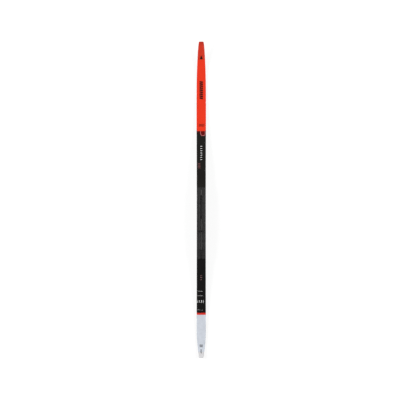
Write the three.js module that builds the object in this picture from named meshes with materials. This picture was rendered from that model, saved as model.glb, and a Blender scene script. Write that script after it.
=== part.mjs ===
// A cross country racing ski with a two-piece binding plate bonded to its top.
//
// Millimetres. +Y points to the tip, +Z up, +X to the ski's right. The origin is under the middle
// of the ski, on the surface that it lies on. Most pieces are lofts: a cross-section that is
// carried from station to station along the ski, from the tip to the tail.

import * as THREE from 'three';

// ---- Ski: overall shape ------------------------------------------------------------------------

const LENGTH = 1530;
const TIP_END = LENGTH / 2;
const TAIL_END = -LENGTH / 2;

const CAMBER_HEIGHT = 16; // clearance under the unloaded ski, at its highest point
const CAMBER_CENTRE = -75;
const CAMBER_REACH = 575; // from the highest point to where the base meets the snow
const FRONT_CONTACT_END = 545;
const REAR_CONTACT_END = -700;
const TIP_RISE = 38;
const TIP_CURL = 2.2; // exponent of the tip's upturn
const TAIL_RISE = 8;

// [y, half width], tail to tip; both ends are cut off square, with rounded corners
const halfWidthCurve = smoothCurve([
  [TAIL_END, 6.8],
  [-764, 8.9],
  [-762, 10.5],
  [-758, 11.9],
  [-749, 13.8],
  [-735, 15.5],
  [-706, 18.2],
  [-675, 20.7],
  [-645, 22.1],
  [-540, 22.3],
  [-440, 22.1],
  [-75, 21.9],
  [120, 22.1],
  [300, 22.6],
  [400, 23.0],
  [480, 22.95],
  [560, 22.4],
  [616, 21.2],
  [674, 19.0],
  [723, 16.3],
  [752, 13.4],
  [761, 12.0],
  [764, 10.4],
  [TIP_END, 8.8],
]);

// [y, thickness from the base to the top], tail to tip
const thicknessCurve = smoothCurve([
  [TAIL_END, 5.0],
  [-690, 6.5],
  [-450, 11.5],
  [-230, 18.8],
  [-95, 20.8],
  [-55, 20.8],
  [60, 19.8],
  [300, 12.5],
  [520, 7.2],
  [680, 4.8],
  [TIP_END, 4.2],
]);

// ---- Ski: lengthwise division ------------------------------------------------------------------

const TIP_CAP_START = 680;
const TIP_TONGUE_START = 652;
const CORE_FRONT_END = 600;
const BLOCK_FRONT_END = 110;
const BLOCK_REAR_END = -320;
const CORE_REAR_END = -690;
const TAIL_TONGUE_START = -716;
const TAIL_CAP_START = -736;
const BUTT_GAP = 0.4; // between pieces that meet end to end

// [y, number of equal steps to the next one], tail to tip
const STATION_RUNS = [
  [TAIL_END, 1],
  [-764, 1],
  [-762, 1],
  [-758, 1],
  [-749, 2],
  [TAIL_CAP_START, 1],
  [TAIL_TONGUE_START, 2],
  [CORE_REAR_END, 3],
  [-650, 8],
  [BLOCK_REAR_END, 6],
  [-95, 1],
  [-55, 5],
  [BLOCK_FRONT_END, 8],
  [500, 1],
  [FRONT_CONTACT_END, 3],
  [CORE_FRONT_END, 3],
  [TIP_TONGUE_START, 2],
  [TIP_CAP_START, 5],
  [752, 2],
  [761, 1],
  [764, 1],
  [TIP_END, 0],
];
const STATIONS = STATION_RUNS.flatMap(([y, steps], run) =>
  Array.from({ length: Math.max(steps, 1) }, (_, i) =>
    steps ? y + ((STATION_RUNS[run + 1][0] - y) * i) / steps : y,
  ),
);

// ---- Ski: layers -------------------------------------------------------------------------------

const GLUE_LINE = 0.1;
const BASE_THICK = 1.5;
const LAMINATE_THICK = 0.6;
const TOPSHEET_THICK = 0.6;
const TOP_BEVEL = 0.9; // across the topsheet's long edges
const TOP_BEVEL_DROP = 0.35;
const END_CAP_DROP = 1.2; // the end caps round off more than the topsheet does
const END_CAP_ROUNDING = 1.6; // across each long edge of a cap
const END_CAP_SHOULDER = 0.5; // part of that width, where the rounding is steep
const SIDEWALL_THICK = 2.8;
const SIDEWALL_HOLLOW = 1.1;
const HOLLOW_LEVELS = [0.16, 0.34, 0.62, 0.84]; // shares of the height: start, two deepest, end
const STRINGER_THICK = 4;
const REINFORCEMENT_THICK = 0.9;

const GROOVE_HALF_WIDTH = 2.0; // guide groove in the base
const GROOVE_FLOOR_HALF_WIDTH = 1.4;
const GROOVE_DEPTH = 0.9;
const GROOVE_FADE = [440, 500]; // runs out towards the tip between these

const CHANNEL_CENTRES = [-8, 0, 8]; // air channels in the underside of the core
const CHANNEL_HALF_WIDTH = 2.4;
const CHANNEL_SHARE = 0.55; // of the core's height

// ---- Binding plate -----------------------------------------------------------------------------

const PLATE_FRONT_END = 61.5;
const PLATE_JOINT_FRONT = -150;
const PLATE_JOINT_REAR = -152;
const PLATE_REAR_END = -284;
const PLATE_EDGE_INSET = 0.4; // from the ski's own edge
const PLATE_THICK = 4.6;
const PLATE_FOOT = 1.4; // height of the wide foot below the rail groove
const PLATE_FOOT_SLOPE = 0.8; // outer height of the foot as a share of its inner height
const RAIL_GROOVE_DEPTH = 1.7;
const RAIL_GROOVE_HEIGHT = 1.3;
const RAIL_LIP_INSET = 0.4;
const RAIL_LIP_SLOPE = 1.06; // how much higher the lip's underside is at its outer edge
const PLATE_CHAMFER = 0.5;
const PLATE_NOSE = 7; // length of the rounded front end
const PLATE_HEEL = 9; // length of the rounded rear end
const PLATE_FLAT_END = 0.5; // share of the width that stays straight across each end
const PLATE_NOSE_RAMP = 26;
const PLATE_NOSE_THICK = 1.8;
const PLATE_HEEL_SHARE = 0.6; // of the full thickness, left at the end of the heel
const PAD_THICK = 0.3;
const PAD_INSET = 1.2;

const CROSS_GROOVES = [-243.5, -256, -268.5]; // across the rear plate
const CROSS_GROOVE_HALF_WIDTH = 1.4;
const CROSS_GROOVE_DEPTH = 1.8;
const WALL_RUN = 0.25; // length over which a loft drops or rises a step

const RACK_SLOT_HALF_WIDTH = 4.4;
const RACK_SLOT_FLOOR = 2.0;
const RACK_HALF_WIDTH = 2.7;
const RACK_PITCH = 6;
const RACK_CREST_HALF_LENGTH = 1.2;
const RACK_FOOT_HALF_LENGTH = 2.2; // where a tooth's flank reaches the gap between teeth
const RACK_TOOTH_DROP = 0.7;
const RACK_PROUD = 0.3; // tooth crests above the plate's top
const RACK_POCKET_DROP = 2.0;
const RACK_NOSE_GAP = 12; // the rack starts where the nose ramp is high enough for it
const RACK_END_GAP = 3;
const RACK_POCKETS = [
  [0, 24],
  [-92, -78],
];

// ---- Curves ------------------------------------------------------------------------------------

/** A smooth curve through [y, value] points that never overshoots them. */
function smoothCurve(points) {
  const rise = (i) => (points[i + 1][1] - points[i][1]) / (points[i + 1][0] - points[i][0]);
  const last = points.length - 1;
  const slopes = points.map((_, i) => {
    const before = rise(Math.max(i - 1, 0));
    const after = rise(Math.min(i, last - 1));
    return before * after > 0 ? (2 * before * after) / (before + after) : 0;
  });
  return (y) => {
    const next = Math.max(points.findIndex(([at]) => at >= y), 1);
    const [y0, value0] = points[next - 1];
    const [y1, value1] = points[next];
    const span = y1 - y0;
    const t = (y - y0) / span;
    const blend = t * t * (3 - 2 * t);
    const leave = t * (1 - t) * (1 - t) * span * slopes[next - 1];
    const arrive = t * t * (1 - t) * span * slopes[next];
    return value0 + (value1 - value0) * blend + leave - arrive;
  };
}

/** Height of the running base above the snow. */
function baseCurve(y) {
  if (y > FRONT_CONTACT_END) {
    return TIP_RISE * ((y - FRONT_CONTACT_END) / (TIP_END - FRONT_CONTACT_END)) ** TIP_CURL;
  }
  if (y < REAR_CONTACT_END) {
    return TAIL_RISE * ((y - REAR_CONTACT_END) / (TAIL_END - REAR_CONTACT_END)) ** 2;
  }
  const t = THREE.MathUtils.clamp((y - CAMBER_CENTRE) / CAMBER_REACH, -1, 1);
  return (CAMBER_HEIGHT / 2) * (1 + Math.cos(Math.PI * t));
}

/** A curve's value at y along the straight facets between stations, which every layer shares. */
function onFacets(curve, y) {
  const next = Math.max(STATIONS.findIndex((station) => station >= y), 1);
  const [from, to] = [STATIONS[next - 1], STATIONS[next]];
  return THREE.MathUtils.mapLinear(y, from, to, curve(from), curve(to));
}

const halfWidth = (y) => onFacets(halfWidthCurve, y);
const baseZ = (y) => onFacets(baseCurve, y);
const topZ = (y) => baseZ(y) + onFacets(thicknessCurve, y);

// Levels that the layers share, measured from the base upwards and from the top downwards.
const aboveBase = (y) => baseZ(y) + BASE_THICK + GLUE_LINE;
const coreFloor = (y) => aboveBase(y) + LAMINATE_THICK + GLUE_LINE;
const belowTopsheet = (y) => topZ(y) - TOPSHEET_THICK - GLUE_LINE;
const coreRoof = (y) => belowTopsheet(y) - LAMINATE_THICK - GLUE_LINE;
const innerHalfWidth = (y) => halfWidth(y) - SIDEWALL_THICK - GLUE_LINE;
const coreHalfWidth = (y) => innerHalfWidth(y) - STRINGER_THICK - GLUE_LINE;

// ---- Lofting -----------------------------------------------------------------------------------

/** The stations from front back to rear, with both ends and any extra ones included. */
function stationsBetween(front, rear, extra = []) {
  const inside = [...STATIONS, ...extra].filter((y) => y < front - 0.01 && y > rear + 0.01);
  const sorted = [front, ...inside, rear].sort((a, b) => b - a);
  return sorted.filter((y, i) => i === 0 || sorted[i - 1] - y > 0.01);
}

/**
 * A closed solid carried through the given stations, tip first. section(y) lists the [x, z]
 * corners of the cross-section there, always in the same order.
 */
function loft(stations, section) {
  const first = section(stations[0]);
  const steps = stations.length - 1;
  const outline = new THREE.Shape(first.map(([x, z]) => new THREE.Vector2(x, z)));
  const geometry = new THREE.ExtrudeGeometry(outline, { steps, depth: steps, bevelEnabled: false });
  const cornerKey = (x, z) => `${x.toFixed(3)} ${z.toFixed(3)}`;
  const cornerAt = new Map(first.map(([x, z], i) => [cornerKey(x, z), i]));
  const sections = stations.map(section);
  const position = geometry.attributes.position;
  for (let i = 0; i < position.count; i += 1) {
    const step = Math.round(position.getZ(i));
    const corner = cornerAt.get(cornerKey(position.getX(i), position.getY(i)));
    const [x, z] = sections[step][corner];
    position.setXYZ(i, x, stations[step], z);
  }
  geometry.computeVertexNormals();
  return geometry;
}

/** A whole cross-section from its right half, listed from the bottom up to the top. */
function mirrored(rightHalf) {
  const leftHalf = rightHalf.filter(([x]) => x > 0).map(([x, z]) => [-x, z]);
  return [...rightHalf, ...leftHalf.reverse()];
}

/** A plain rectangular cross-section. */
function rectangle(left, right, bottom, top) {
  return [
    [left, bottom],
    [right, bottom],
    [right, top],
    [left, top],
  ];
}

function piece(name, geometry, color, roughness, metalness = 0) {
  const material = new THREE.MeshStandardMaterial({ color, roughness, metalness });
  const mesh = new THREE.Mesh(geometry, material);
  mesh.name = name;
  return mesh;
}

// ---- Base, laminates and topsheet --------------------------------------------------------------

function baseSheet() {
  const grooveDepth = (y) => {
    const fade = THREE.MathUtils.smoothstep(y, ...GROOVE_FADE);
    return GROOVE_DEPTH * (1 - fade);
  };
  return loft(stationsBetween(TIP_END, TAIL_END), (y) =>
    mirrored([
      [GROOVE_FLOOR_HALF_WIDTH, baseZ(y) + grooveDepth(y)],
      [GROOVE_HALF_WIDTH, baseZ(y)],
      [halfWidth(y), baseZ(y)],
      [halfWidth(y), baseZ(y) + BASE_THICK],
    ]),
  );
}

/** A sheet between the sidewalls, with its lower face at the given level. */
function laminate(bottom) {
  return loft(stationsBetween(TIP_CAP_START - BUTT_GAP, TAIL_CAP_START + BUTT_GAP), (y) =>
    rectangle(-innerHalfWidth(y), innerHalfWidth(y), bottom(y), bottom(y) + LAMINATE_THICK),
  );
}

function topsheet() {
  return loft(stationsBetween(TIP_CAP_START - BUTT_GAP, TAIL_CAP_START + BUTT_GAP), (y) =>
    mirrored([
      [halfWidth(y), topZ(y) - TOPSHEET_THICK],
      [halfWidth(y), topZ(y) - TOP_BEVEL_DROP],
      [halfWidth(y) - TOP_BEVEL, topZ(y)],
    ]),
  );
}

/** The strip that closes one side; its outer face is hollowed where it is tall enough. */
function sidewall(side) {
  const [start, low, high, end] = HOLLOW_LEVELS;
  return loft(stationsBetween(TIP_CAP_START - BUTT_GAP, TAIL_CAP_START + BUTT_GAP), (y) => {
    const floor = aboveBase(y);
    const height = belowTopsheet(y) - floor;
    const outer = halfWidth(y);
    const inner = outer - SIDEWALL_THICK;
    const hollow = SIDEWALL_HOLLOW * THREE.MathUtils.smoothstep(height, 3, 10);
    const corners = [
      [inner, floor],
      [outer, floor],
      [outer, floor + height * start],
      [outer - hollow, floor + height * low],
      [outer - hollow, floor + height * high],
      [outer, floor + height * end],
      [outer, floor + height],
      [inner, floor + height],
    ];
    return corners.map(([x, z]) => [side * x, z]);
  });
}

// ---- Core --------------------------------------------------------------------------------------

function coreStringer(side) {
  return loft(stationsBetween(CORE_FRONT_END, CORE_REAR_END), (y) => {
    const outer = side * innerHalfWidth(y);
    const inner = outer - side * STRINGER_THICK;
    return rectangle(Math.min(inner, outer), Math.max(inner, outer), coreFloor(y), coreRoof(y));
  });
}

/** A length of core with air channels milled into its underside. */
function channelledCore(front, rear) {
  return loft(stationsBetween(front, rear), (y) => {
    const floor = coreFloor(y);
    const ceiling = floor + (coreRoof(y) - floor) * CHANNEL_SHARE;
    const channels = CHANNEL_CENTRES.flatMap((centre) => [
      [centre - CHANNEL_HALF_WIDTH, floor],
      [centre - CHANNEL_HALF_WIDTH, ceiling],
      [centre + CHANNEL_HALF_WIDTH, ceiling],
      [centre + CHANNEL_HALF_WIDTH, floor],
    ]);
    return [
      [-coreHalfWidth(y), floor],
      ...channels,
      [coreHalfWidth(y), floor],
      [coreHalfWidth(y), coreRoof(y)],
      [-coreHalfWidth(y), coreRoof(y)],
    ];
  });
}

function coreBlock() {
  return loft(stationsBetween(BLOCK_FRONT_END, BLOCK_REAR_END), (y) =>
    rectangle(
      -coreHalfWidth(y),
      coreHalfWidth(y),
      coreFloor(y),
      coreRoof(y) - REINFORCEMENT_THICK - GLUE_LINE,
    ),
  );
}

function bindingReinforcement() {
  return loft(stationsBetween(BLOCK_FRONT_END, BLOCK_REAR_END), (y) =>
    rectangle(-coreHalfWidth(y), coreHalfWidth(y), coreRoof(y) - REINFORCEMENT_THICK, coreRoof(y)),
  );
}

/** The filler between the end of the core and the tongue of an end cap. */
function spacer(front, rear) {
  return loft(stationsBetween(front, rear), (y) =>
    rectangle(-innerHalfWidth(y), innerHalfWidth(y), coreFloor(y), coreRoof(y)),
  );
}

// ---- End caps ----------------------------------------------------------------------------------

/**
 * A moulded cap over one end of the ski, with a tongue that reaches between the laminates.
 * inward is the direction from the cap to its tongue.
 */
function endCap(end, capStart, tongueStart) {
  const inward = Math.sign(tongueStart - capStart);
  const shoulder = capStart + inward * 0.01;
  const stations = stationsBetween(Math.max(end, tongueStart), Math.min(end, tongueStart), [
    capStart,
    capStart + inward * WALL_RUN,
  ]);
  return loft(stations, (y) => {
    const isTongue = (y - shoulder) * inward > 0;
    const outer = isTongue ? innerHalfWidth(y) : halfWidth(y);
    const floor = isTongue ? coreFloor(y) : aboveBase(y);
    const roof = isTongue ? coreRoof(y) : topZ(y);
    const drop = isTongue ? (roof - floor) / 2 : END_CAP_DROP;
    return mirrored([
      [outer, floor],
      [outer, roof - drop],
      [outer - END_CAP_SHOULDER, roof - drop * 0.4],
      [outer - END_CAP_ROUNDING, roof],
    ]);
  });
}

// ---- Binding plate -----------------------------------------------------------------------------

const padFloor = (y) => topZ(y) + GLUE_LINE;
const plateFloor = (y) => padFloor(y) + PAD_THICK + GLUE_LINE;

/** How far a rounded end has narrowed at y: 1 on the full width, falling to 0 at the end. */
function endRounding(y, end, length) {
  const t = THREE.MathUtils.clamp(Math.abs(y - end) / length, 0, 1);
  return Math.sqrt(1 - (1 - t) ** 2);
}

function plateHalfWidth(y) {
  const full = halfWidth(y) - PLATE_EDGE_INSET;
  const nose = endRounding(y, PLATE_FRONT_END, PLATE_NOSE);
  const heel = endRounding(y, PLATE_REAR_END, PLATE_HEEL);
  return full * (PLATE_FLAT_END + (1 - PLATE_FLAT_END) * Math.min(nose, heel));
}

/** Thickness of the plate, with its nose ramp, rounded heel and cross grooves. */
function plateThickness(y) {
  const ramp = THREE.MathUtils.smoothstep(PLATE_FRONT_END - y, 0, PLATE_NOSE_RAMP);
  const heel = endRounding(y, PLATE_REAR_END, PLATE_HEEL);
  const nose = PLATE_NOSE_THICK + (PLATE_THICK - PLATE_NOSE_THICK) * ramp;
  const grooveReach = CROSS_GROOVE_HALF_WIDTH - WALL_RUN / 2;
  const inGroove = CROSS_GROOVES.some((centre) => Math.abs(y - centre) < grooveReach);
  const heelThick = PLATE_THICK * (PLATE_HEEL_SHARE + (1 - PLATE_HEEL_SHARE) * heel);
  return Math.min(nose, heelThick) - (inGroove ? CROSS_GROOVE_DEPTH : 0);
}

/** Stations that the plate needs besides the ski's own: its rounded ends and its grooves. */
function plateStations(front, rear) {
  const shares = [0.04, 0.16, 0.36, 0.64, 1];
  const nose = shares.map((share) => PLATE_FRONT_END - PLATE_NOSE * share);
  const ramp = [0.45, 0.7, 1].map((share) => PLATE_FRONT_END - PLATE_NOSE_RAMP * share);
  const heel = shares.map((share) => PLATE_REAR_END + PLATE_HEEL * share);
  const grooves = CROSS_GROOVES.flatMap((centre) =>
    [-1, 1].flatMap((side) => [
      centre + side * (CROSS_GROOVE_HALF_WIDTH - WALL_RUN),
      centre + side * CROSS_GROOVE_HALF_WIDTH,
    ]),
  );
  return stationsBetween(front, rear, [...nose, ...ramp, ...heel, ...grooves]);
}

/** A rail plate: a wide foot, an undercut groove along each side, and a slot down the middle. */
function bindingPlate(front, rear) {
  return loft(plateStations(front, rear), (y) => {
    const floor = plateFloor(y);
    const outer = plateHalfWidth(y);
    const thickness = plateThickness(y);
    const scale = thickness / PLATE_THICK;
    const grooveTop = (PLATE_FOOT + RAIL_GROOVE_HEIGHT) * scale;
    const lip = outer - RAIL_LIP_INSET;
    return mirrored([
      [outer, floor],
      [outer, floor + PLATE_FOOT * scale * PLATE_FOOT_SLOPE],
      [outer - RAIL_GROOVE_DEPTH, floor + PLATE_FOOT * scale],
      [outer - RAIL_GROOVE_DEPTH, floor + grooveTop],
      [lip, floor + grooveTop * RAIL_LIP_SLOPE],
      [lip, floor + thickness - PLATE_CHAMFER],
      [lip - PLATE_CHAMFER, floor + thickness],
      [RACK_SLOT_HALF_WIDTH, floor + thickness],
      [RACK_SLOT_HALF_WIDTH, floor + RACK_SLOT_FLOOR * scale],
    ]);
  });
}

function platePad(front, rear) {
  return loft(stationsBetween(front, rear), (y) => {
    const outer = halfWidth(y) - PAD_INSET;
    return rectangle(-outer, outer, padFloor(y), padFloor(y) + PAD_THICK);
  });
}

/** The toothed strip in the plate's slot that sets where the binding locks. */
function rackInsert(front, rear) {
  const toothCount = Math.floor((front - rear) / RACK_PITCH);
  const teeth = Array.from({ length: toothCount }, (_, i) => front - (i + 0.5) * RACK_PITCH);
  const edges = teeth.flatMap((crest) =>
    [-1, 1].flatMap((side) => [
      crest + side * RACK_CREST_HALF_LENGTH,
      crest + side * RACK_FOOT_HALF_LENGTH,
    ]),
  );
  const pocketWalls = RACK_POCKETS.flat().flatMap((wall) => [wall, wall + WALL_RUN]);
  const isPocket = (y) => RACK_POCKETS.some(([low, high]) => y > low + 0.01 && y < high + 0.01);
  const isCrest = (y) => teeth.some((crest) => Math.abs(y - crest) < RACK_CREST_HALF_LENGTH + 0.1);
  return loft(stationsBetween(front, rear, [...edges, ...pocketWalls]), (y) => {
    const floor = plateFloor(y) + RACK_SLOT_FLOOR + GLUE_LINE;
    const crestTop = plateFloor(y) + plateThickness(y) + RACK_PROUD;
    const drop = isPocket(y) ? RACK_POCKET_DROP : isCrest(y) ? 0 : RACK_TOOTH_DROP;
    return rectangle(-RACK_HALF_WIDTH, RACK_HALF_WIDTH, floor, crestTop - drop);
  });
}

// ---- The ski -----------------------------------------------------------------------------------

const TIP_RED = 0xd43c26;
const BLACK = 0x22201f;
const TAIL_GREY = 0xccd0db;
const PLATE_GREY = 0x323132;
const RACK_GREY = 0x4a4847;
const WOOD = 0xc9a877;
const DENSE_WOOD = 0x9b7648;
const CARBON = 0x1b1c1e;

const ski = new THREE.Group();
ski.add(
  piece('base_sheet', baseSheet(), 0x191919, 0.4),
  piece('lower_laminate', laminate(aboveBase), CARBON, 0.45),
  piece('sidewall_left', sidewall(-1), 0x161616, 0.5),
  piece('sidewall_right', sidewall(1), 0x161616, 0.5),
  piece('core_stringer_left', coreStringer(-1), DENSE_WOOD, 0.7),
  piece('core_stringer_right', coreStringer(1), DENSE_WOOD, 0.7),
  piece('core_front', channelledCore(CORE_FRONT_END, BLOCK_FRONT_END + BUTT_GAP), WOOD, 0.75),
  piece('core_binding_block', coreBlock(), DENSE_WOOD, 0.7),
  piece('core_rear', channelledCore(BLOCK_REAR_END - BUTT_GAP, CORE_REAR_END), WOOD, 0.75),
  piece('tip_spacer', spacer(TIP_TONGUE_START - BUTT_GAP, CORE_FRONT_END + BUTT_GAP), BLACK, 0.6),
  piece('tail_spacer', spacer(CORE_REAR_END - BUTT_GAP, TAIL_TONGUE_START + BUTT_GAP), BLACK, 0.6),
  piece('binding_reinforcement', bindingReinforcement(), 0x8d9094, 0.35, 0.9),
  piece('upper_laminate', laminate((y) => belowTopsheet(y) - LAMINATE_THICK), CARBON, 0.45),
  piece('topsheet', topsheet(), BLACK, 0.3),
  piece('tip_protector', endCap(TIP_END, TIP_CAP_START, TIP_TONGUE_START), TIP_RED, 0.4),
  piece('tail_protector', endCap(TAIL_END, TAIL_CAP_START, TAIL_TONGUE_START), TAIL_GREY, 0.4),
  piece(
    'plate_pad_front',
    platePad(PLATE_FRONT_END - PLATE_NOSE, PLATE_JOINT_FRONT + 1),
    0x101010,
    0.9,
  ),
  piece(
    'plate_pad_rear',
    platePad(PLATE_JOINT_REAR - 1, PLATE_REAR_END + PLATE_HEEL),
    0x101010,
    0.9,
  ),
  piece('binding_plate_front', bindingPlate(PLATE_FRONT_END, PLATE_JOINT_FRONT), PLATE_GREY, 0.55),
  piece('binding_plate_rear', bindingPlate(PLATE_JOINT_REAR, PLATE_REAR_END), PLATE_GREY, 0.55),
  piece(
    'rack_insert_front',
    rackInsert(PLATE_FRONT_END - RACK_NOSE_GAP, PLATE_JOINT_FRONT + RACK_END_GAP),
    RACK_GREY,
    0.45,
  ),
  piece(
    'rack_insert_rear',
    rackInsert(PLATE_JOINT_REAR - RACK_END_GAP, PLATE_REAR_END + PLATE_HEEL),
    RACK_GREY,
    0.45,
  ),
);

export default ski;
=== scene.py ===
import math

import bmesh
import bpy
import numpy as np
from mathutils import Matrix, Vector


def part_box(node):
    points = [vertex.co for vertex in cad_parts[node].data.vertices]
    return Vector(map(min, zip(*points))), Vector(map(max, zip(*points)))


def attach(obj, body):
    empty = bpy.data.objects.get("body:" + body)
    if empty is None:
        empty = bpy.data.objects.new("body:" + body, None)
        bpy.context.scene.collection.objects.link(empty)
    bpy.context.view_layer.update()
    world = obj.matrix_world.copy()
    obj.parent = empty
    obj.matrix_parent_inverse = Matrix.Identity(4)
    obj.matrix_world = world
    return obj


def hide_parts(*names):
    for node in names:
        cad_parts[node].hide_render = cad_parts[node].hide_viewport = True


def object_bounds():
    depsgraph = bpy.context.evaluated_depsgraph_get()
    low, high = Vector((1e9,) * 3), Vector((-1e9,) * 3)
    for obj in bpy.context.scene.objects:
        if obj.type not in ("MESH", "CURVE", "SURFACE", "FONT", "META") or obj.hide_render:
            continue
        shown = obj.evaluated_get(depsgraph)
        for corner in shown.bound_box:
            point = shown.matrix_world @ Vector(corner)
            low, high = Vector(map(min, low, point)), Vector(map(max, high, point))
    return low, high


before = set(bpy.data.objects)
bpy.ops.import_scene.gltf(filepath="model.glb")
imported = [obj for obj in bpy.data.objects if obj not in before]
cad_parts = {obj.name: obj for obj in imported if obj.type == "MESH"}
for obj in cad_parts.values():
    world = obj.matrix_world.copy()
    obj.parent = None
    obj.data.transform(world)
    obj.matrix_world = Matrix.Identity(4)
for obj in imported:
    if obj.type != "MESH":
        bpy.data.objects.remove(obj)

# The looks of a cross country racing ski with a two-piece binding plate bonded to its top.
#
# Metres. +Y points to the tip, +Z up, +X to the ski's right. The ski's outline, base line and
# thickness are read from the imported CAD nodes, and every visible shape follows them. Distances
# marked "from the tip" run back from the ski's front end.

MM = 0.001
CAD_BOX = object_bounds()
TIP_Y = CAD_BOX[1][1]
TAIL_Y = CAD_BOX[0][1]
BODY = "root"


# ---- Curves read from the CAD nodes ------------------------------------------------------------


def corners_of(*nodes):
    """The vertices of some CAD nodes, one row of x, y, z each."""
    return np.array([v.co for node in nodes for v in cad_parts[node].data.vertices])


def stations(points, values, pick):
    """The y positions of some points and, at each, what pick makes of the values there."""
    ys = np.unique(np.round(points[:, 1], 5))
    return ys, np.array([pick(values[np.abs(points[:, 1] - y) < 1e-5]) for y in ys])


class Curve:
    """A smooth curve through values at y positions."""

    def __init__(self, ys, values):
        apart = np.concatenate([[True], np.diff(ys) > 1 * MM])
        self.ys = ys[apart]
        self.values = values[apart]
        self.slopes = np.gradient(self.values, self.ys)

    def __call__(self, y):
        i = int(np.clip(np.searchsorted(self.ys, y) - 1, 0, len(self.ys) - 2))
        span = self.ys[i + 1] - self.ys[i]
        t = (y - self.ys[i]) / span
        rise = (self.values[i + 1] - self.values[i]) * t * t * (3 - 2 * t)
        leave = t * (1 - t) ** 2 * span * self.slopes[i]
        arrive = t * t * (1 - t) * span * self.slopes[i + 1]
        return float(self.values[i] + rise + leave - arrive)


base_corners = corners_of("base_sheet")
base_z = Curve(*stations(base_corners, base_corners[:, 2], np.min))
half_width = Curve(*stations(base_corners, base_corners[:, 0], np.max))

film_corners = corners_of("topsheet")
FILM_FRONT_Y = film_corners[:, 1].max()
FILM_REAR_Y = film_corners[:, 1].min()
cap_corners = corners_of("tip_protector", "tail_protector")
beyond_film = (cap_corners[:, 1] > FILM_FRONT_Y) | (cap_corners[:, 1] < FILM_REAR_Y)
top_corners = np.concatenate([film_corners, cap_corners[beyond_film]])
TOP_STATIONS = stations(top_corners, top_corners[:, 2], np.max)
top_z = Curve(*TOP_STATIONS)


# ---- Making meshes -----------------------------------------------------------------------------


def piece(name, vertices, faces, material, stands_for=(), crease=32):
    """A mesh of the object: smooth except along edges sharper than crease, in degrees."""
    mesh = bpy.data.meshes.new(name)
    mesh.from_pydata(vertices, [], faces)
    shape = bmesh.new()
    shape.from_mesh(mesh)
    bmesh.ops.recalc_face_normals(shape, faces=shape.faces)
    shape.to_mesh(mesh)
    shape.free()
    mesh.shade_smooth()
    mesh.set_sharp_from_angle(angle=math.radians(crease))
    mesh.materials.append(material)
    result = bpy.data.objects.new(name, mesh)
    bpy.context.scene.collection.objects.link(result)
    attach(result, BODY)
    if stands_for:
        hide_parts(*stands_for)
    return result


def prism_faces(first, count, steps):
    """Faces of a closed solid whose rings of count vertices start at index first."""
    faces = [
        (
            first + step * count + corner,
            first + step * count + (corner + 1) % count,
            first + (step + 1) * count + (corner + 1) % count,
            first + (step + 1) * count + corner,
        )
        for step in range(steps)
        for corner in range(count)
    ]
    last = first + steps * count
    return [*faces, tuple(range(first, first + count)), tuple(range(last, last + count))]


def softened(corners, steps=3):
    """A closed outline of (x, z, cut) corners, each rounded off over its cut along both sides."""
    points = []
    for i, (x, z, cut) in enumerate(corners):
        if not cut:
            points.append((x, z))
            continue
        corner = np.array([x, z])
        ends = []
        for other in (corners[i - 1], corners[(i + 1) % len(corners)]):
            side = np.array(other[:2]) - corner
            length = np.linalg.norm(side)
            ends.append(corner + side * min(cut, 0.45 * length) / max(length, 1e-9))
        for step in range(steps + 1):
            t = step / steps
            point = (1 - t) ** 2 * ends[0] + 2 * t * (1 - t) * corner + t * t * ends[1]
            points.append(tuple(point))
    return points


def mirrored(right_half):
    """A whole section from its right half, listed from the bottom up to the top."""
    return [*right_half, *[(-x, z, cut) for x, z, cut in reversed(right_half)]]


def loft(name, ys, section, material, stands_for=(), crease=32):
    """A closed solid through the stations ys; section(y) gives its (x, z, cut) corners."""
    rings = [[(x, y, z) for x, z in softened(section(y))] for y in ys]
    faces = prism_faces(0, len(rings[0]), len(rings) - 1)
    vertices = [point for ring in rings for point in ring]
    return piece(name, vertices, faces, material, stands_for, crease)


def spread(front, rear, pitch=8 * MM, extra=()):
    """Stations from front back to rear, about pitch apart, with any extra ones between them."""
    count = max(2, round((front - rear) / pitch) + 1)
    even = np.linspace(front, rear, count)
    inside = [y for y in extra if rear + 0.02 * MM < y < front - 0.02 * MM]
    ys = np.unique(np.round(np.concatenate([even, inside]), 6))[::-1]
    apart = np.concatenate([[True], -np.diff(ys) > 0.02 * MM])
    return ys[apart]


# ---- Materials ---------------------------------------------------------------------------------


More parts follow.
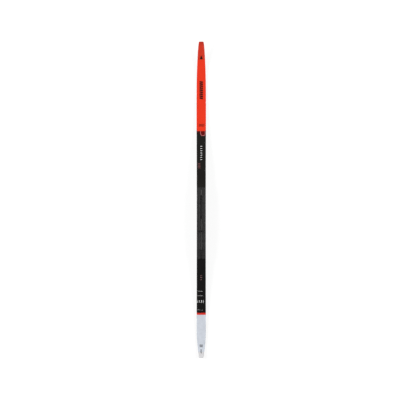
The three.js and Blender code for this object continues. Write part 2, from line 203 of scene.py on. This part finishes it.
class Surface:
    """A material under construction. Its methods add nodes and give back their outputs."""

    def __init__(self, name, colour, roughness, **settings):
        self.material = bpy.data.materials.new(name)
        self.material.use_nodes = True
        self.tree = self.material.node_tree
        self.shader = self.tree.nodes["Principled BSDF"]
        self.colour = colour
        self.set("Base Color", (*colour, 1))
        self.set("Roughness", roughness)
        for socket, value in settings.items():
            self.set(socket.replace("_", " "), value)
        self.place = self.node("ShaderNodeTexCoord").outputs["Object"]

    def set(self, socket, value):
        self.feed(self.shader.inputs[socket], value)

    def feed(self, socket, value):
        """Links an output to a socket, or puts a plain value on it."""
        if isinstance(value, bpy.types.NodeSocket):
            self.tree.links.new(value, socket)
        else:
            socket.default_value = value

    def node(self, kind, inputs=(), **properties):
        made = self.tree.nodes.new(kind)
        for key, value in properties.items():
            setattr(made, key, value)
        for socket, value in dict(inputs).items():
            self.feed(made.inputs[socket], value)
        return made

    def math(self, operation, first, second=0.0):
        made = self.node("ShaderNodeMath", operation=operation)
        self.feed(made.inputs[0], first)
        self.feed(made.inputs[1], second)
        return made.outputs[0]

    def noise(self, scale, stretch=(1, 1, 1), detail=3.0):
        """Noise with about scale features per metre, more of them along stretched axes."""
        mapped = self.node("ShaderNodeMapping", {"Vector": self.place, "Scale": stretch})
        inputs = {"Vector": mapped.outputs[0], "Scale": scale, "Detail": detail}
        return self.node("ShaderNodeTexNoise", inputs).outputs["Fac"]

    def span(self, value, low, high, to_low=0.0, to_high=1.0):
        """value, moved from the range low..high to to_low..to_high and held inside it."""
        inputs = {
            "Value": value,
            "From Min": low,
            "From Max": high,
            "To Min": to_low,
            "To Max": to_high,
        }
        return self.node("ShaderNodeMapRange", inputs).outputs[0]

    def mix(self, factor, first, second):
        """A blend of two colours."""
        made = self.node("ShaderNodeMix", data_type="RGBA")
        self.feed(made.inputs["Factor"], factor)
        for socket, colour in ((made.inputs[6], first), (made.inputs[7], second)):
            self.feed(socket, colour if isinstance(colour, bpy.types.NodeSocket) else (*colour, 1))
        return made.outputs[2]

    def shaded(self, factor, dark, light):
        """The surface's own colour, times dark where factor is 0 and times light where it is 1."""
        return self.mix(factor, [c * dark for c in self.colour], [c * light for c in self.colour])

    def bump(self, height, depth):
        """Raises the surface by up to depth metres where height is 1."""
        made = self.node("ShaderNodeBump", {"Height": height, "Distance": depth, "Strength": 1.0})
        current = self.shader.inputs["Normal"]
        if current.is_linked:
            self.feed(made.inputs["Normal"], current.links[0].from_socket)
        self.set("Normal", made.outputs[0])

    def axes(self):
        return self.node("ShaderNodeSeparateXYZ", {"Vector": self.place}).outputs


def scratches(surface, low, high):
    """Roughness between low and high, streaked along the ski as handling and cloths leave it."""
    streaks = surface.noise(240, stretch=(5, 0.16, 5), detail=4)
    smudges = surface.noise(22, detail=3)
    together = surface.math("MULTIPLY", streaks, smudges)
    surface.set("Roughness", surface.span(together, 0.08, 0.46, low, high))
    return streaks


def twill(surface, tow):
    """A 2 by 2 twill weave at 45 degrees: how far each fibre bundle stands out, 0 to 1."""
    x, y, _ = surface.axes()
    diagonal = tow * math.sqrt(2)
    u = surface.math("DIVIDE", surface.math("ADD", x, y), diagonal)
    v = surface.math("DIVIDE", surface.math("SUBTRACT", y, x), diagonal)
    cells = surface.math("ADD", surface.math("FLOOR", u), surface.math("FLOOR", v))
    turn = surface.math("FRACT", surface.math("MULTIPLY", cells, 0.25))
    warp_on_top = surface.math("LESS_THAN", turn, 0.49)
    crowns = []
    for axis in (u, v):
        across = surface.math("FRACT", axis)
        crowns.append(surface.math("SINE", surface.math("MULTIPLY", across, math.pi)))
    chosen = surface.node("ShaderNodeMix", {"Factor": warp_on_top}, data_type="FLOAT")
    surface.feed(chosen.inputs[2], surface.math("MULTIPLY", crowns[0], 0.55))
    surface.feed(chosen.inputs[3], crowns[1])
    return chosen.outputs[0]


def film(name, colour, weave=0.0, fade=None):
    """Printed and lacquered topsheet film, with a woven laminate showing faintly through as painted
    shading on its fibre bundles.

    fade is (colour, y, length): the film starts as that colour at y and loses it over length
    towards the tail.
    """
    surface = Surface(name, colour, 0.3, Coat_Weight=0.35, Coat_Roughness=0.2)
    scratches(surface, 0.28, 0.38)
    mottle = surface.noise(60, detail=4)
    tone = surface.shaded(surface.span(mottle, 0.3, 0.7), 0.95, 1.05)
    if weave:
        crown = twill(surface, 1.9 * MM)
        # Painted shading: each fibre bundle is lighter along its crown and darker at its sides.
        weave_shade = surface.shaded(crown, 1 - weave, 1 + weave)
        tone = surface.mix(0.5, tone, weave_shade)
        surface.bump(crown, 0.008 * MM)
    if fade:
        start_colour, y, length = fade
        share = surface.span(surface.axes()[1], y - length, y)
        sharper = surface.math("POWER", share, 2.0)
        tone = surface.mix(sharper, tone, start_colour)
    surface.set("Base Color", tone)
    surface.bump(surface.noise(420, detail=2), 0.012 * MM)
    return surface.material


def ink(name, colour, gloss=0.5, roughness=0.42):
    """Screen-printed ink: slightly matt, with the uneven density of a print."""
    surface = Surface(name, colour, roughness, Specular_IOR_Level=gloss)
    grain = surface.noise(1500, detail=3)
    surface.set("Base Color", surface.shaded(surface.span(grain, 0.3, 0.7), 0.93, 1.05))
    surface.set("Roughness", surface.span(grain, 0.3, 0.7, roughness - 0.05, roughness + 0.08))
    surface.bump(grain, 0.01 * MM)
    return surface.material


def moulded(name, colour, roughness, grain=0.03, darkened_from=None):
    """Injection-moulded plastic with a fine spark-eroded texture, paler where it is rubbed.

    darkened_from is the y from which a tip grows darker, in patches, towards its front end.
    """
    surface = Surface(name, colour, roughness)
    texture = surface.noise(1700, detail=4)
    cloud = surface.noise(35, detail=4)
    grain_tops = surface.span(texture, 0.45, 0.75)
    rubbed = surface.math("MULTIPLY", grain_tops, surface.span(cloud, 0.4, 0.8))
    tone = surface.shaded(rubbed, 0.94, 1.3)
    if darkened_from is not None:
        # Darker towards the front end, in patches.
        front = surface.span(surface.axes()[1], darkened_from, TIP_Y)
        patches = surface.span(surface.noise(160, detail=4), 0.3, 0.6, 0.6, 1.0)
        front_darkening = surface.math("MULTIPLY", front, patches)
        tone = surface.mix(front_darkening, tone, [c * 0.66 for c in colour])
    surface.set("Base Color", tone)
    surface.set("Roughness", surface.span(cloud, 0.3, 0.7, roughness - 0.06, roughness + 0.06))
    surface.bump(texture, grain * MM)
    return surface.material


def rack_painted_highlight(name, plain, highlight_colour, ranges):
    """Rack plastic with a painted highlight: its teeth are painted lighter in some ranges.

    Each range is the y of its rear end, the y of its front end, and its strength from 0 to 1.
    """
    surface = Surface(name, plain, 0.5)
    y = surface.axes()[1]
    share = 0.0
    for rear, front, strength in ranges:
        past_rear = surface.span(y, rear - MM, rear)
        short_of_front = surface.span(y, front + MM, front)
        inside = surface.math("MULTIPLY", past_rear, short_of_front)
        share = surface.math("ADD", share, surface.math("MULTIPLY", inside, strength))
    texture = surface.noise(1700, detail=4)
    # Painted highlight: the rack's colour is lighter inside the ranges.
    highlight_share = surface.math("MULTIPLY", share, surface.span(texture, 0.25, 0.5, 0.7, 1.0))
    surface.set("Base Color", surface.mix(highlight_share, plain, highlight_colour))
    surface.set("Roughness", surface.span(texture, 0.3, 0.7, 0.42, 0.58))
    surface.bump(texture, 0.03 * MM)
    return surface.material


def ground_base(name, colour):
    """Sintered polyethylene with the fine lengthwise structure of a stone grind, waxed."""
    surface = Surface(name, colour, 0.4, Specular_IOR_Level=0.4)
    grind = surface.noise(900, stretch=(2.2, 0.03, 0), detail=3)
    cross = surface.noise(700, stretch=(1.6, 0.22, 0), detail=2)
    wax = surface.noise(14, stretch=(1.5, 0.4, 1), detail=4)
    surface.set("Base Color", surface.shaded(surface.span(grind, 0.3, 0.7), 0.75, 1.35))
    surface.set("Roughness", surface.span(wax, 0.3, 0.7, 0.3, 0.5))
    surface.bump(surface.span(grind, 0.35, 0.65), 0.05 * MM)
    surface.bump(cross, 0.02 * MM)
    return surface.material


def milled(name, colour):
    """Sidewall plastic, planed along the ski."""
    surface = Surface(name, colour, 0.42)
    passes = surface.noise(500, stretch=(1, 0.025, 3.2), detail=3)
    chatter = surface.noise(260, stretch=(0.2, 1.4, 0.2), detail=1)
    surface.set("Base Color", surface.shaded(surface.span(passes, 0.3, 0.7), 0.8, 1.25))
    surface.set("Roughness", surface.span(passes, 0.3, 0.7, 0.34, 0.52))
    surface.bump(passes, 0.03 * MM)
    surface.bump(chatter, 0.008 * MM)
    return surface.material


def wood(name, colour, rings):
    """Planed core wood with its grain along the ski."""
    surface = Surface(name, colour, 0.65)
    grain = surface.noise(rings, stretch=(1, 0.04, 1), detail=5)
    pores = surface.noise(2400, stretch=(1, 0.06, 1), detail=2)
    surface.set("Base Color", surface.shaded(surface.span(grain, 0.3, 0.7), 0.7, 1.2))
    surface.bump(pores, 0.04 * MM)
    return surface.material


def fibre(name, colour):
    """Bare carbon laminate in resin, its weave shown by painted shading on the fibre bundles."""
    surface = Surface(name, colour, 0.35, Coat_Weight=0.5)
    crown = twill(surface, 2.0 * MM)
    # Painted shading: each fibre bundle is lighter along its crown and darker at its sides.
    surface.set("Base Color", surface.shaded(crown, 0.5, 1.8))
    surface.bump(crown, 0.03 * MM)
    return surface.material


def rolled_metal(name, colour):
    """Rolled sheet metal with lines along the ski."""
    surface = Surface(name, colour, 0.35, Metallic=1.0)
    lines = surface.noise(900, stretch=(2, 0.02, 2), detail=3)
    surface.set("Roughness", surface.span(lines, 0.3, 0.7, 0.28, 0.45))
    surface.bump(lines, 0.01 * MM)
    return surface.material


def foam(name, colour):
    """Closed-cell bonding foam."""
    surface = Surface(name, colour, 0.9)
    cells = surface.noise(2200, detail=2)
    surface.set("Base Color", surface.shaded(surface.span(cells, 0.3, 0.7), 0.7, 1.3))
    surface.bump(cells, 0.05 * MM)
    return surface.material


RED = (0.80, 0.036, 0.0105)
TIP_RED = (0.615, 0.031, 0.0095)
BAND_RED = (0.69, 0.034, 0.021)
BLACK_FRONT = (0.0080, 0.0068, 0.0056)
BLACK_REAR = (0.0030, 0.0023, 0.0024)
TAIL_GREY = (0.625, 0.662, 0.727)
END_GREY = (0.68, 0.672, 0.685)
PLATE_GREY = (0.0120, 0.0112, 0.0114)
RACK_HIGHLIGHT_GREY = (0.062, 0.060, 0.058)
WHITE = (0.80, 0.80, 0.80)
SALMON = (0.49, 0.122, 0.127)
DIM_RED = (0.165, 0.053, 0.054)
DEEP_RED = (0.115, 0.0008, 0.0008)
PALE_PINK = (0.22, 0.115, 0.115)

RED_END = 430.9 * MM  # where the red of the forebody ends, from the tip
FRONT_HIGHLIGHT_RANGE = (26 * MM, 70 * MM, 1.0)  # ranges of the rack painted lighter as a painted highlight
REAR_HIGHLIGHT_RANGE = (-240 * MM, -90 * MM, 0.62)

base_material = ground_base("base_polyethylene", (0.012, 0.012, 0.0125))
sidewall_material = milled("sidewall_plastic", (0.012, 0.012, 0.012))
red_film = film("film_red", RED, weave=0.03)
front_film = film(
    "film_black_front",
    BLACK_FRONT,
    weave=0.28,
    fade=((0.07, 0.002, 0.002), TIP_Y - RED_END, 20 * MM),
)
black_film = film("film_black", BLACK_REAR, weave=0.28)
band_film = film("film_band_red", BAND_RED)
tail_film = film("film_tail", TAIL_GREY)
tip_plastic = moulded("tip_plastic", TIP_RED, 0.42, darkened_from=TIP_Y - 22 * MM)
tail_plastic = moulded("tail_plastic", END_GREY, 0.42)
plate_plastic = moulded("plate_plastic", PLATE_GREY, 0.55, grain=0.045)
# The rack carries a painted highlight: it is lighter in two ranges.
rack_plastic = rack_painted_highlight("rack_plastic", PLATE_GREY, RACK_HIGHLIGHT_GREY, [FRONT_HIGHLIGHT_RANGE, REAR_HIGHLIGHT_RANGE])
black_ink = ink("ink_black", (0.0125, 0.0030, 0.0022), gloss=0.2)
white_ink = ink("ink_white", WHITE)
salmon_ink = ink("ink_salmon", SALMON)
dim_red_ink = ink("ink_dim_red", DIM_RED)
deep_red_ink = ink("ink_deep_red", DEEP_RED, gloss=0.2)
pale_pink_ink = ink("ink_pale_pink", PALE_PINK)
grey_ink = ink("ink_grey", (0.03, 0.03, 0.032))


# ---- Base, sidewalls and end caps --------------------------------------------------------------

BASE_THICK = 1.5 * MM
GLUE_LINE = 0.1 * MM
BUTT_GAP = 0.4 * MM  # between the film and an end cap
FILM_THICK = 0.6 * MM
SIDEWALL_THICK = 2.8 * MM
SIDEWALL_HOLLOW = 1.1 * MM
HOLLOW_START = 0.16  # levels of the sidewall's hollow, as shares of the sidewall's height
HOLLOW_END = 0.84
BEVEL = 0.9 * MM
BEVEL_DROP = 0.35 * MM

GROOVE_DEPTH = 0.9 * MM
GROOVE_FLOOR_HALF_WIDTH = 1.3 * MM
GROOVE_HALF_WIDTH = 2.1 * MM
GROOVE_END = TIP_Y - 265 * MM
GROOVE_FADE = 60 * MM  # length over which the groove runs out at its front end

CAP_ROUNDING = 1.7 * MM  # across each long edge of an end cap
CAP_DROP = 1.0 * MM
CAP_NOSE_DROP = 0.9 * MM  # how far the very end of a cap is rounded down
CAP_NOSE_LENGTH = 5 * MM


def smoothstep(value, low, high):
    """0 up to low, 1 from high on, and a smooth rise between them."""
    t = min(max((value - low) / (high - low), 0.0), 1.0)
    return t * t * (3 - 2 * t)


def near_ends(front=TIP_Y, rear=TAIL_Y):
    """Extra stations for the rounded corners of both ends."""
    steps = [0.1 * MM, 0.4 * MM, 1 * MM, 1.8 * MM, 3 * MM, 5 * MM]
    return [front - step for step in steps] + [rear + step for step in steps]


def make_base():
    """The running base, with its guide groove."""

    def section(y):
        depth = GROOVE_DEPTH * (1 - smoothstep(y, GROOVE_END - GROOVE_FADE, GROOVE_END))
        outer = half_width(y)
        floor = base_z(y)
        return mirrored(
            [
                (GROOVE_FLOOR_HALF_WIDTH, floor + depth, 0.4 * MM),
                (GROOVE_HALF_WIDTH, floor, 0.35 * MM),
                (outer, floor, 0.3 * MM),
                (outer, floor + BASE_THICK, 0.1 * MM),
            ]
        )

    ys = spread(TIP_Y, TAIL_Y, extra=near_ends())
    loft("base_ground", ys, section, base_material, ["base_sheet"], crease=40)


def make_sidewall(side, name, node):
    """One sidewall; its outer face is hollowed where it is tall enough."""

    def section(y):
        floor = base_z(y) + BASE_THICK + GLUE_LINE
        height = top_z(y) - FILM_THICK - GLUE_LINE - floor
        outer = half_width(y)
        inner = outer - SIDEWALL_THICK
        hollow = SIDEWALL_HOLLOW * smoothstep(height, 3 * MM, 10 * MM)
        faces = [(outer, 0.0), (outer, HOLLOW_START)]
        for t in (0.12, 0.27, 0.42, 0.58, 0.73, 0.88):
            level = HOLLOW_START + (HOLLOW_END - HOLLOW_START) * t
            faces.append((outer - hollow * math.sin(math.pi * t) ** 1.2, level))
        faces += [(outer, HOLLOW_END), (outer, 1.0)]
        corners = [(inner, floor, 0.0)]
        corners += [(x, floor + height * share, 0.0) for x, share in faces]
        corners += [(inner, floor + height, 0.0)]
        return [(side * x, z, cut) for x, z, cut in corners]

    low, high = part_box(node)
    ys = spread(high.y, low.y)
    loft(name, ys, section, sidewall_material, [node], crease=50)


def make_cap(name, node, film_end, material):
    """A moulded end cap over the base, from the end of the topsheet film to the end of the ski."""
    low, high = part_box(node)
    at_tip = film_end > 0
    body_start = film_end + (BUTT_GAP if at_tip else -BUTT_GAP)
    tip_of_cap = high.y if at_tip else low.y

    def section(y):
        outer = half_width(y)
        floor = base_z(y) + BASE_THICK + GLUE_LINE
        from_end = abs(tip_of_cap - y)
        nose = CAP_NOSE_DROP * (1 - smoothstep(from_end, 0, CAP_NOSE_LENGTH))
        roof = top_z(y) - nose
        return mirrored(
            [
                (outer, floor, 0.15 * MM),
                (outer, roof - CAP_DROP, 0.5 * MM),
                (outer - CAP_ROUNDING, roof, 0.8 * MM),
            ]
        )

    front, rear = max(tip_of_cap, body_start), min(tip_of_cap, body_start)
    ys = spread(front, rear, 5 * MM, near_ends(front, rear))
    loft(name, ys, section, material, [node], crease=40)


# ---- Topsheet ----------------------------------------------------------------------------------

UNDER_PLATE_START = 740 * MM  # where the zones of the film start, from the tip
UNDER_PLATE_END = 1000 * MM
BAND_START = 1311.4 * MM  # a stripe of colour across the ski
TAIL_COLOUR_START = 1320.8 * MM


def film_section(y):
    """The film's section, with a bevel along each long edge."""
    outer = half_width(y)
    roof = top_z(y)
    return mirrored(
        [
            (outer, roof - FILM_THICK, 0.0),
            (outer, roof - BEVEL_DROP, 0.12 * MM),
            (outer - BEVEL, roof, 0.3 * MM),
        ]
    )


def make_topsheet():
    """One film, printed in zones that run from one distance from the tip to the next."""
    zones = [
        ("film_forebody", TIP_Y - FILM_FRONT_Y, RED_END, red_film),
        ("film_waist_front", RED_END, UNDER_PLATE_START, front_film),
        ("film_under_plate", UNDER_PLATE_START, UNDER_PLATE_END, black_film),
        ("film_waist_rear", UNDER_PLATE_END, BAND_START, black_film),
        ("film_band", BAND_START, TAIL_COLOUR_START, band_film),
        ("film_tail", TAIL_COLOUR_START, TIP_Y - FILM_REAR_Y, tail_film),
    ]
    for name, start, end, material in zones:
        ys = spread(TIP_Y - start, TIP_Y - end)
        loft(name, ys, film_section, material, ["topsheet"])


# ---- Prints ------------------------------------------------------------------------------------

INK_LIFT = 0.07 * MM
INK_SINK = 0.05 * MM


def print_shapes(name, outlines, material):
    """Thin ink shapes on the topsheet, each from an outline of (x, distance from the tip) in mm."""
    vertices = []
    faces = []
    for outline in outlines:
        first = len(vertices)
        for lift in (INK_LIFT, -INK_SINK):
            for x, from_tip in outline:
                y = TIP_Y - from_tip * MM
                vertices.append((x * MM, y, top_z(y) + lift))
        faces += prism_faces(first, len(outline), 1)
    piece(name, vertices, faces, material)


def bar(left, right, centre, thick, slant=0.0, taper=1.0):
    """A bar across the ski. slant moves its right end towards the tail; taper thins that end."""
    return [
        (left, centre - thick / 2),
        (right, centre + slant - thick * taper / 2),
        (right, centre + slant + thick * taper / 2),
        (left, centre + thick / 2),
    ]


def stroke(points, width):
    """The outline of a line of some width through points, with mitred corners."""
    path = np.array(points, float)
    steps = np.diff(path, axis=0)
    normals = np.stack([-steps[:, 1], steps[:, 0]], axis=1)
    normals /= np.linalg.norm(normals, axis=1, keepdims=True)
    offsets = []
    for i in range(len(path)):
        near = normals[max(i - 1, 0)] + normals[min(i, len(normals) - 1)]
        near /= np.linalg.norm(near)
        offsets.append(near * width / 2 / max(near @ normals[max(i - 1, 0)], 0.4))
    offsets = np.array(offsets)
    return [*(path + offsets).tolist(), *(path - offsets)[::-1].tolist()]


def make_prints():
    """Plain generic marks, placed and sized in mm, from the tip back to the tail."""
    kite = [(0.3, 64.5), (7.6, 81.0), (0.3, 83.3), (-7.0, 81.0)]
    print_shapes("print_tip_kite", [kite], black_ink)

    ladder = [bar(-8.4, 8.0, 191.2 + i * 9.85, 7.4, slant=2.6) for i in range(9)]
    print_shapes("print_ladder", ladder, black_ink)

    fine_lines = [bar(-12.5, 15.0, 398.2 + i * 4.5, 1.9) for i in range(3)]
    print_shapes("print_fine_lines", fine_lines, black_ink)

    edge = half_width(TIP_Y - RED_END) / MM - 1.0
    red_end = RED_END / MM
    wedges = [
        [(side * edge, red_end - 19), (side * edge, red_end), (side * (edge - 1.6), red_end)]
        for side in (-1, 1)
    ]
    print_shapes("print_edge_wedges", wedges, black_ink)

    cup = [(-3.8, 431.2), (-3.3, 443), (1.2, 452.7), (14.8, 452.7), (18.7, 446.6), (18.7, 431.2)]
    print_shapes("print_cup_line", [stroke(cup, 2.8)], salmon_ink)
    field = [(-1.9, 431.2), (-1.5, 442), (2.3, 450.3), (13.8, 450.3), (16.5, 445.8), (16.5, 431.2)]
    print_shapes("print_cup_field", [field], deep_red_ink)

    dashes = [bar(-4.0, 4.4, 504.6 + i * 10.75, 2.4) for i in range(7)]
    print_shapes("print_dashes", dashes, white_ink)

    side_lines = [bar(-15.8, -4.2, 588.2 + i * 7.0, 2.7) for i in range(4)]
    print_shapes("print_side_lines", side_lines, dim_red_ink)

    centre_lines = [bar(-4.4, 3.7, centre, 2.4) for centre in (1130.3, 1139.5, 1150.2)]
    print_shapes("print_centre_lines", centre_lines, pale_pink_ink)

    tail_lines = [
        bar(-20.4, 7.0, 1205.0, 0.65, slant=1.6),
        bar(-20.4, 8.6, 1228.0, 0.8),
        bar(-20.6, 7.4, 1296.6, 0.85, slant=2.2, taper=0.5),
    ]
    print_shapes("print_tail_lines", tail_lines, white_ink)

    blocks = [
        [(x, 1249.8), (x + wide, 1249.8), (x + wide - 1.2, 1262.4), (x - 1.2, 1262.4)]
        for x, wide in ((-18.4, 1.5), (-9.4, 1.6), (0.4, 2.8), (9.9, 1.5))
    ]
    print_shapes("print_tail_blocks", blocks, white_ink)

    tail_bars = [bar(-8.0, 7.2, 1467.3 + i * 4.6, 2.7) for i in range(3)]
    print_shapes("print_tail_bars", tail_bars, grey_ink)
    print_shapes("print_tail_tick", [bar(-2.4, 0.8, 1497.4, 20.4)], grey_ink)


# ---- Binding plate -----------------------------------------------------------------------------

RAIL_GROOVE_DEPTH = 1.7 * MM
RAIL_GROOVE_FLOOR = (0.31, 0.58)  # its lowest and highest level, as shares of the plate's height
RAIL_GROOVE_MOUTH = (0.25, 0.63)
RAIL_LIP_INSET = 0.4 * MM
RACK_SLOT_HALF_WIDTH = 4.4 * MM
RACK_SLOT_DEPTH = 2.6 * MM
POCKET_DEPTH = 0.45 * MM
POCKET_WALL = 0.5 * MM  # how far a pocket's long walls lean
POCKET_END_RUN = 1.2 * MM  # length of the slope at each end of a pocket
POCKET_OUTER_SHARE = 0.82  # a pocket's edges, as shares of the plate's half width
POCKET_INNER_SHARE = 0.36
POCKET_LAND = 6 * MM  # between pockets
NOSE_WITHOUT_POCKETS = 34 * MM
REAR_POCKETS_LENGTH = 84 * MM  # from the front end of the rear plate


def make_rail_plate(name, node, pockets):
    """A rail plate with grooved sides, shallow pockets in its top and a slot for the rack."""
    corners = corners_of(node)
    ys, tops = stations(corners, corners[:, 2], np.max)
    _, floors = stations(corners, corners[:, 2], np.min)
    _, outers = stations(corners, corners[:, 0], np.max)
    film_tops = np.interp(ys, *TOP_STATIONS)
    full_thick = np.median(tops - floors)

    def section(y):
        floor = top_z(y) + float(np.interp(y, ys, floors - film_tops))
        roof = top_z(y) + float(np.interp(y, ys, tops - film_tops))
        outer = float(np.interp(y, ys, outers))
        height = roof - floor
        depth = 0.0
        for front, rear in pockets:
            inside = min(front - y, y - rear)
            depth = max(depth, POCKET_DEPTH * smoothstep(inside, 0, POCKET_END_RUN))
        pocket_out = outer * POCKET_OUTER_SHARE
        pocket_in = outer * POCKET_INNER_SHARE
        return mirrored(
            [
                (outer, floor, 0.1 * MM),
                (outer, floor + RAIL_GROOVE_MOUTH[0] * height, 0.25 * MM),
                (outer - RAIL_GROOVE_DEPTH, floor + RAIL_GROOVE_FLOOR[0] * height, 0.15 * MM),
                (outer - RAIL_GROOVE_DEPTH, floor + RAIL_GROOVE_FLOOR[1] * height, 0.15 * MM),
                (outer - RAIL_LIP_INSET, floor + RAIL_GROOVE_MOUTH[1] * height, 0.15 * MM),
                (outer - RAIL_LIP_INSET, roof - 0.1 * MM, 0.5 * MM),
                (pocket_out, roof, 0.1 * MM),
                (pocket_out - POCKET_WALL, roof - depth, 0.1 * MM),
                (pocket_in + POCKET_WALL, roof - depth, 0.1 * MM),
                (pocket_in, roof, 0.1 * MM),
                (RACK_SLOT_HALF_WIDTH, roof, 0.2 * MM),
                (RACK_SLOT_HALF_WIDTH, roof - RACK_SLOT_DEPTH * height / full_thick, 0.1 * MM),
            ]
        )

    ends = np.array(pockets).flatten()
    slopes = [end + share * POCKET_END_RUN for end in ends for share in (-1, -0.5, 0, 0.5, 1)]
    lengthwise = spread(ys.max(), ys.min(), 5 * MM, [*ys, *slopes])
    loft(name, lengthwise, section, plate_plastic, [node], crease=28)


def make_rack(name, node):
    """The toothed strip in the slot, with the CAD teeth softened."""
    corners = corners_of(node)
    ys, tops = stations(corners, corners[:, 2], np.max)
    _, floors = stations(corners, corners[:, 2], np.min)
    film_tops = np.interp(ys, *TOP_STATIONS)
    half = corners[:, 0].max()

    def section(y):
        floor = top_z(y) + float(np.interp(y, ys, floors - film_tops))
        roof = top_z(y) + float(np.interp(y, ys, tops - film_tops))
        return [
            (-half, floor, 0.0),
            (half, floor, 0.0),
            (half, roof, 0.35 * MM),
            (-half, roof, 0.35 * MM),
        ]

    loft(name, ys[::-1], section, rack_plastic, [node], crease=25)


def pocket_run(front, rear, count):
    """The front and rear ends of count equal pockets in a row."""
    length = (front - rear - POCKET_LAND * (count - 1)) / count
    starts = [front - i * (length + POCKET_LAND) for i in range(count)]
    return [(start, start - length) for start in starts]


def make_plates():
    """Both rail plates, with four pockets in the front one and two in the rear one."""
    front_low, front_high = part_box("binding_plate_front")
    rear_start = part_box("binding_plate_rear")[1].y
    front_run = pocket_run(front_high.y - NOSE_WITHOUT_POCKETS, front_low.y + POCKET_LAND, 4)
    rear_run = pocket_run(rear_start - POCKET_LAND, rear_start - REAR_POCKETS_LENGTH, 2)
    make_rail_plate("rail_plate_front", "binding_plate_front", front_run)
    make_rail_plate("rail_plate_rear", "binding_plate_rear", rear_run)
    make_rack("rack_front", "rack_insert_front")
    make_rack("rack_rear", "rack_insert_rear")


# ---- Hidden nodes that stay as the CAD made them -----------------------------------------------


def finish_inner_nodes():
    """Materials for the core, the laminates and what bonds the plates."""
    light_wood = wood("core_light_wood", (0.58, 0.40, 0.20), 90)
    dense_wood = wood("core_dense_wood", (0.33, 0.19, 0.08), 160)
    carbon = fibre("carbon_laminate", (0.016, 0.016, 0.018))
    filler = moulded("filler_plastic", (0.02, 0.02, 0.02), 0.6)
    metal = rolled_metal("reinforcement_sheet", (0.45, 0.46, 0.48))
    pad = foam("bonding_foam", (0.01, 0.01, 0.01))
    finishes = {
        "lower_laminate": carbon,
        "upper_laminate": carbon,
        "core_stringer_left": dense_wood,
        "core_stringer_right": dense_wood,
        "core_front": light_wood,
        "core_rear": light_wood,
        "core_binding_block": dense_wood,
        "tip_spacer": filler,
        "tail_spacer": filler,
        "binding_reinforcement": metal,
        "plate_pad_front": pad,
        "plate_pad_rear": pad,
    }
    for node, finish in finishes.items():
        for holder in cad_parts[node].material_slots:
            holder.material = finish


# ---- Floor, light and camera -------------------------------------------------------------------


def make_floor():
    """A glowing floor: its glow is weaker near the ski so the lamps' soft shadows show, plain white
    beyond, and fades to a soft grey horizon.
    """
    half = 40.0
    corners = [(-half, -half, 0), (half, -half, 0), (half, half, 0), (-half, half, 0)]
    mesh = bpy.data.meshes.new("floor")
    mesh.from_pydata(corners, [], [(0, 1, 2, 3)])
    floor = bpy.data.objects.new("floor", mesh)
    floor.location.z = -0.3 * MM
    bpy.context.scene.collection.objects.link(floor)
    pale = Surface("floor_glowing", (0.2, 0.2, 0.2), 1.0)
    pale.set("Specular IOR Level", 0.0)
    pale.set("Emission Color", (1, 1, 1, 1))
    x, y, _ = pale.axes()
    squares = [pale.math("MULTIPLY", axis, axis) for axis in (x, y)]
    reach = pale.math("SQRT", pale.math("ADD", *squares))
    # The floor glows: weaker within 1.1 m of the middle, full beyond 2.8 m, fading past 8 m.
    near = pale.span(reach, 1.1, 2.8, 0.84, 1.03)
    far = pale.span(reach, 8.0, 32.0, 1.0, 0.58)
    pale.set("Emission Strength", pale.math("MULTIPLY", near, far))
    mesh.materials.append(pale.material)


def make_world():
    """An even white room that is darker straight overhead, so that flat gloss stays deep."""
    world = bpy.data.worlds.new("studio")
    bpy.context.scene.world = world
    world.use_nodes = True
    tree = world.node_tree
    direction = tree.nodes.new("ShaderNodeTexCoord")
    split = tree.nodes.new("ShaderNodeSeparateXYZ")
    ramp = tree.nodes.new("ShaderNodeValToRGB")
    tree.links.new(direction.outputs["Generated"], split.inputs[0])
    tree.links.new(split.outputs["Z"], ramp.inputs[0])
    tree.links.new(ramp.outputs[0], tree.nodes["Background"].inputs["Color"])
    levels = [(0.0, 0.6), (0.15, 0.55), (0.42, 0.42), (0.7, 0.28), (0.88, 0.12), (1.0, 0.06)]
    elements = ramp.color_ramp.elements
    while len(elements) < len(levels):
        elements.new(0.5)
    for element, (position, level) in zip(elements, levels):
        element.position = position
        element.color = (level, level, level, 1)


def make_light(name, place, size, power):
    """A soft lamp that faces the middle of the ski and can't be seen itself."""
    light = bpy.data.lights.new(name, "AREA")
    light.shape = "RECTANGLE"
    light.size, light.size_y = size
    light.energy = power
    lamp = bpy.data.objects.new(name, light)
    bpy.context.scene.collection.objects.link(lamp)
    lamp.location = place
    lamp.visible_camera = False
    aim = -lamp.location.normalized()
    lamp.rotation_euler = aim.to_track_quat("-Z", "Y").to_euler()


def make_camera():
    """Straight above the ski, with its tip at the top of the picture."""
    camera = bpy.data.cameras.new("camera")
    camera.lens = 135
    camera.sensor_width = 36
    camera.clip_end = 100
    viewer = bpy.data.objects.new("camera", camera)
    bpy.context.scene.collection.objects.link(viewer)
    viewer.location = (-6.1 * MM, 0.5 * MM, 7.28)
    bpy.context.scene.camera = viewer


def make_studio():
    make_floor()
    make_world()
    make_light("soft_left", (-4.2, 0.6, 2.1), (2.4, 1.9), 238)
    make_light("soft_right", (4.2, 0.6, 2.1), (2.4, 1.9), 195)
    make_camera()
    bpy.context.scene.view_settings.view_transform = "Standard"
    bpy.context.scene.view_settings.look = "None"


make_base()
make_sidewall(-1, "side_left", "sidewall_left")
make_sidewall(1, "side_right", "sidewall_right")
make_cap("cap_tip", "tip_protector", FILM_FRONT_Y, tip_plastic)
make_cap("cap_tail", "tail_protector", FILM_REAR_Y, tail_plastic)
make_topsheet()
make_prints()
make_plates()
finish_inner_nodes()
make_studio()
